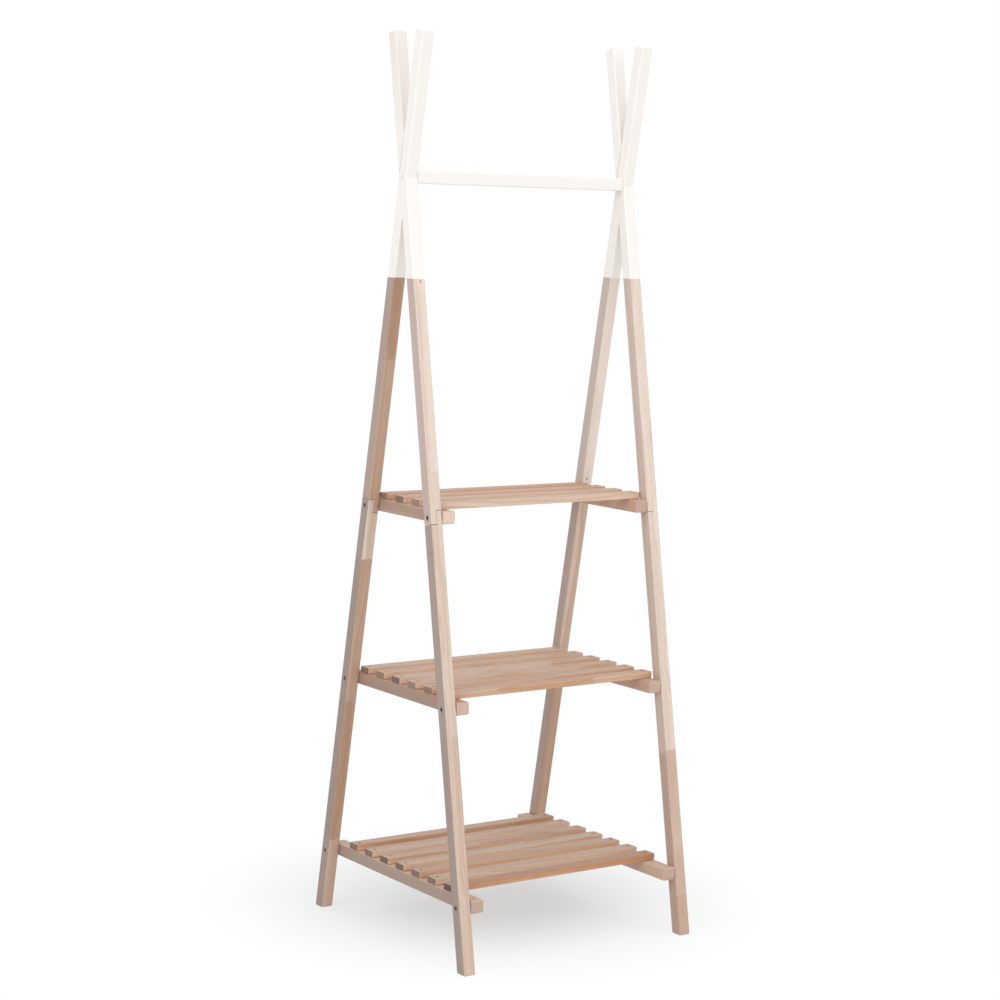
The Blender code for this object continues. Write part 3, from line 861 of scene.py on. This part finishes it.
# %% [markdown]
# The hanging bar is painted all over, and has a bolt hole in each end. It lies as the slats do, so it
# takes their frame.

# %% The hanging bar
bar_place = square_matrix("slat", "hanging_bar")
bar_holes = [(bolt_hole(), bar_place.inverted() @ bolt_matrix(side, "rear", crossing_height))
             for side in SIDES]
bar_mesh = carve(square_blank("slat", "hanging_bar"), bar_holes, BAR_ARRIS)
finish_piece("hanging_bar_stick", bar_mesh, bar_place, [paint], ["hanging_bar"])
print("bar made,", round(extent("hanging_bar").x / MM), "mm long")

# %% [markdown]
# A socket head bolt is a turned piece with a hexagon pressed into its head. Only the head shows, but
# from close by a head without its drive looks like a rivet. So the bolt is a turned profile with the
# hexagon cut out of it, made once and copied. The two bolts at the crossings were in place before the
# frames were painted, so their heads are white.

# %% A bolt
SOCKET_REACH = 2.3 * MM
SOCKET_DEPTH = 2.2 * MM
HEAD_CHAMFER = 0.5 * MM
THREAD_DEPTH = 0.35 * MM
THREAD_PITCH = 1.0 * MM
METAL_EASE = 0.12 * MM
# The ridges of a thread turn by 70 degrees and stay sharp, while the socket's rim turns by 90
METAL_RIM = math.radians(80)


def threaded_profile(radius, start, end):
    """The profile of a thread as rings, which at this size can't be told from a real helix."""
    points = []
    height = start
    while height - THREAD_PITCH > end:
        points.append((radius, height))
        points.append((radius - THREAD_DEPTH, height - THREAD_PITCH / 2))
        height -= THREAD_PITCH
    return points


def bolt():
    top = -HEAD_RECESS
    seat = top - HEAD_HEIGHT
    tip = seat - SHANK_LENGTH
    body = turned([(0, top), (HEAD_RADIUS - HEAD_CHAMFER, top), (HEAD_RADIUS, top - HEAD_CHAMFER),
                   (HEAD_RADIUS, seat), (BOLT_RADIUS, seat),
                   *threaded_profile(BOLT_RADIUS, seat - SHANK_LENGTH / 3, tip + THREAD_PITCH),
                   (BOLT_RADIUS - THREAD_DEPTH, tip), (0, tip)], BOLT_FACETS)
    hexagon = turned([(0, OVERRUN), (SOCKET_REACH, OVERRUN), (SOCKET_REACH, top - SOCKET_DEPTH),
                      (0, top - SOCKET_DEPTH - SOCKET_REACH / 2)], facets=6)
    # Half a facet's turn keeps the corners of the hexagon off the edges between the head's facets
    turn = Matrix.Rotation(math.pi / BOLT_FACETS, 4, "Z")
    mesh = carve(body, [(hexagon, turn)], ease=METAL_EASE, eased_from=METAL_RIM)
    # The head takes the second of the bolt's materials, as it may be painted
    for face in mesh.polygons:
        face.material_index = 1 if face.center.z > seat + FIT_GAP else 0
    return mesh


# %% The bolts in their places
bolt_places = {(side, "bar"): bolt_matrix(side, "rear", crossing_height) for side in SIDES}
for side in SIDES:
    for foot in FEET:
        for shelf, level in rail_levels.items():
            bolt_places[side, foot, shelf] = bolt_matrix(side, foot, level)

first_bolt = bolt()
for key, place in bolt_places.items():
    name = "_".join(key) + "_bolt"
    head_finish = paint if key[1] == "bar" else zinc
    finish_piece(name + "_head", first_bolt.copy(), place, [zinc, head_finish], [name])
bpy.data.meshes.remove(first_bolt)
for node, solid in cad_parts.items():
    if node.endswith("_insert"):
        for slot in solid.material_slots:
            slot.material = zinc
print("bolts made:", len(bolt_places))

# %% [markdown]
# A countersunk screw is made in the same way, with a cross for its drive. No one who puts screws in
# stops them all at the same turn, so each one here is turned by its own angle, drawn from its name.

# %% The slat screws
CROSS_REACH = 2.1 * MM
CROSS_WIDTH = 0.95 * MM
CROSS_DEPTH = 1.3 * MM


def screw():
    top = -SCREW_RECESS
    neck = top - SCREW_HEAD_HEIGHT
    tip = top - SCREW_LENGTH
    body = turned([(0, top), (SCREW_HEAD_RADIUS, top), (SCREW_HEAD_RADIUS, top - FIT_GAP),
                   (SCREW_RADIUS, neck), (SCREW_RADIUS, tip + SCREW_RADIUS * 2), (0, tip)],
                  SCREW_FACETS)
    arm = CROSS_REACH
    width = CROSS_WIDTH / 2
    slots = [(block((-arm, -width, top - CROSS_DEPTH), (arm, width, OVERRUN)), Matrix.Identity(4)),
             (block((-width, -arm, top - CROSS_DEPTH), (width, arm, OVERRUN)), Matrix.Identity(4))]
    return carve(body, slots, ease=METAL_EASE)


first_screw = screw()
for slat in sum(SLATS.values(), []):
    for side in SIDES:
        name = "_".join((slat, side, "screw"))
        quarter = random.Random(name).uniform(0, math.pi / 2)
        place = screw_matrix(side, slat) @ Matrix.Rotation(quarter, 4, "Z")
        finish_piece(name, first_screw.copy(), place, [yellow_zinc], [])
bpy.data.meshes.remove(first_screw)
print("slat screws made:", 2 * sum(SHELVES.values()))

# %% [markdown]
# The rack stands in a white studio. The floor is pale and matt, and catches a wide soft shadow. To the
# camera, and in reflections, it fades to the same white as the world behind it, so there is no horizon.
# Inside a round pool, which lies a little behind the rack, away from the lamps, the camera sees that
# shadow made shallower on top of a painted grey shadow, which fades out to white.


# %% Telling what is seen from what lights
def seen_directly(tree):
    """1 for what the camera sees, straight or through a reflection, and 0 for light on its way."""
    path = add_node(tree, "LightPath")
    either = add_node(tree, "Math", {0: path.outputs["Is Camera Ray"],
                                     1: path.outputs["Is Glossy Ray"]}, operation="MAXIMUM")
    return add_node(tree, "Math", {0: either.outputs[0], 1: path.outputs["Is Transmission Ray"]},
                    operation="MAXIMUM").outputs[0]


# %% The floor
FLOOR_REACH = 9.0
# The pool of painted shadow around the rack, and where it fades out to white
SHADOW_POOL_MIDDLE = (0.06, 0.15, 0.0)
SHADOW_POOL_FADE_START = 0.08
SHADOW_POOL_FADE_END = 0.63
FLOOR_LIFT = 0.40


def studio_floor():
    """A matt floor for the light. The camera sees its shadow made shallower on a painted grey pool of
    shadow, and white further out.
    """
    material, tree, shader = new_material("vinyl_backdrop_matt")
    shader.inputs["Base Color"].default_value = linear("#F4F5F6")
    shader.inputs["Roughness"].default_value = 0.9
    shader.inputs["Specular IOR Level"].default_value = 0.0
    place = add_node(tree, "TexCoord").outputs["Object"]
    distance = add_node(tree, "VectorMath", {0: place, 1: SHADOW_POOL_MIDDLE}, operation="DISTANCE")
    fade = add_node(tree, "MapRange", {"Value": distance.outputs["Value"],
                                       "From Min": SHADOW_POOL_FADE_START, "From Max": SHADOW_POOL_FADE_END},
                    interpolation_type="SMOOTHSTEP")
    # Painted shadow: to the camera the pool is a cool grey with a fixed lift, so it is grey even where
    # no shadow falls. The cool tint offsets the warm light that the wood bounces into the shadow
    cool = add_node(tree, "BsdfDiffuse", {"Color": linear("#B5BABA")})
    lift = add_node(tree, "Emission", {"Color": linear("#FFFFFF"), "Strength": FLOOR_LIFT})
    lifted_painted_shadow = add_node(tree, "AddShader", {0: cool.outputs[0], 1: lift.outputs[0]})
    white = add_node(tree, "Emission", {"Color": linear("#FFFFFF")})
    faded = add_node(tree, "MixShader", {0: fade.outputs[0], 1: lifted_painted_shadow.outputs[0], 2: white.outputs[0]})
    shown = add_node(tree, "MixShader", {0: seen_directly(tree), 1: shader.outputs[0],
                                         2: faded.outputs[0]})
    tree.links.new(shown.outputs[0], tree.nodes["Material Output"].inputs["Surface"])
    return material


floor_shape = bmesh.new()
bmesh.ops.create_grid(floor_shape, x_segments=1, y_segments=1, size=FLOOR_REACH)
floor = as_object(floor_shape, "studio_floor")
floor.data.materials.append(studio_floor())
print("floor made:", 2 * FLOOR_REACH, "m square")

# %% [markdown]
# Most of the light comes from the white walls of the room, brighter in front than behind and under a
# darker ceiling, and back up from the floor. Three large soft boxes, in front, on the left and overhead,
# shape it a little: the fronts of the legs are the palest faces, and the pool of shadow has no edge.

# %% The white room
WALL_LIGHT = 0.82
CEILING_LIGHT = 0.68
# The ceiling's light takes over between these heights of a direction, from 0 for level to 1 for up
CEILING_RANGE = (0.1, 0.9)
# Towards this side the walls are brighter by this share, and away from it they are darker
BRIGHT_SIDE = (-0.3, -0.95, 0.0)
BRIGHTER = 0.5


def white_room():
    """The world: uneven white walls for the light, and plain white for the camera."""
    world = bpy.data.worlds.new("white_room")
    bpy.context.scene.world = world
    world.use_nodes = True
    tree = world.node_tree
    tree.nodes.clear()
    place = add_node(tree, "TexCoord").outputs["Generated"]
    direction = add_node(tree, "SeparateXYZ", {0: place})
    level = add_node(tree, "MapRange", {"Value": direction.outputs["Z"], "From Min": CEILING_RANGE[0],
                                        "From Max": CEILING_RANGE[1], "To Min": WALL_LIGHT,
                                        "To Max": CEILING_LIGHT})
    facing = add_node(tree, "VectorMath", {0: place, 1: BRIGHT_SIDE}, operation="DOT_PRODUCT")
    uneven = add_node(tree, "Math", {0: facing.outputs["Value"], 1: BRIGHTER, 2: 1.0},
                      operation="MULTIPLY_ADD")
    light = add_node(tree, "Math", {0: level.outputs[0], 1: uneven.outputs[0]}, operation="MULTIPLY")
    room = add_node(tree, "Background", {"Color": linear("#F8F9FC"), "Strength": light.outputs[0]})
    white = add_node(tree, "Background", {"Color": linear("#FFFFFF")})
    both = add_node(tree, "MixShader", {0: seen_directly(tree), 1: room.outputs[0],
                                        2: white.outputs[0]})
    add_node(tree, "OutputWorld", {"Surface": both.outputs[0]})


white_room()
print("world:", bpy.context.scene.world.name)

# %% The soft boxes
RACK_MIDDLE = (0.0, 0.0, 0.9)
RACK_FOOT = (0.0, 0.0, 0.0)


def soft_box(name, place, aim, size, power):
    """A square lamp, with its side in metres and its power in watts, aimed at a point."""
    lamp = bpy.data.lights.new(name, "AREA")
    lamp.shape = "SQUARE"
    lamp.size = size
    lamp.energy = power
    lamp_object = bpy.data.objects.new(name, lamp)
    workshop.objects.link(lamp_object)
    lamp_object.location = place
    lamp_object.rotation_euler = (Vector(aim) - Vector(place)).to_track_quat("-Z", "Y").to_euler()


soft_box("front_soft_box", place=(0.6, -3.5, 3.3), aim=RACK_MIDDLE, size=3.0, power=18)
soft_box("left_soft_box", place=(-3.4, -0.9, 2.6), aim=RACK_MIDDLE, size=3.0, power=32)
soft_box("overhead_soft_box", place=(0.1, 0.0, 4.4), aim=RACK_FOOT, size=2.0, power=23)
print("lamps:", [lamp.name for lamp in bpy.data.lights])

# %% [markdown]
# The photograph was taken from a little below the height of the bar, some four and a half metres off,
# through a long lens. Its place and turn were solved from the rack's own edges, so the render and the
# photograph can be laid over each other. The camera leans a degree and a half, as the photograph does.

# %% Camera
CAMERA_PLACE = (-2.6249, -3.7150, 1.3555)
CAMERA_YAW = math.radians(34.973)
CAMERA_PITCH = math.radians(-6.630)
CAMERA_ROLL = math.radians(1.5086)
LENS_MM = 85.844
SENSOR_MM = 36.0

camera_data = bpy.data.cameras.new("long_lens")
camera_data.sensor_width = SENSOR_MM
camera_data.lens = LENS_MM
camera = bpy.data.objects.new("camera", camera_data)
workshop.objects.link(camera)
ahead = Vector((math.sin(CAMERA_YAW) * math.cos(CAMERA_PITCH),
                math.cos(CAMERA_YAW) * math.cos(CAMERA_PITCH), math.sin(CAMERA_PITCH)))
level_right = Vector((math.cos(CAMERA_YAW), -math.sin(CAMERA_YAW), 0))
level_up = level_right.cross(ahead)
lean_right = level_right * math.cos(CAMERA_ROLL) + level_up * math.sin(CAMERA_ROLL)
lean_up = level_up * math.cos(CAMERA_ROLL) - level_right * math.sin(CAMERA_ROLL)
turn = Matrix((lean_right, lean_up, -ahead)).transposed().to_4x4()
camera.matrix_world = Matrix.Translation(CAMERA_PLACE) @ turn
bpy.context.scene.camera = camera
bpy.context.scene.view_settings.view_transform = "Standard"
print("camera", round(Vector(CAMERA_PLACE).length, 2), "m from the middle of the rack's foot")
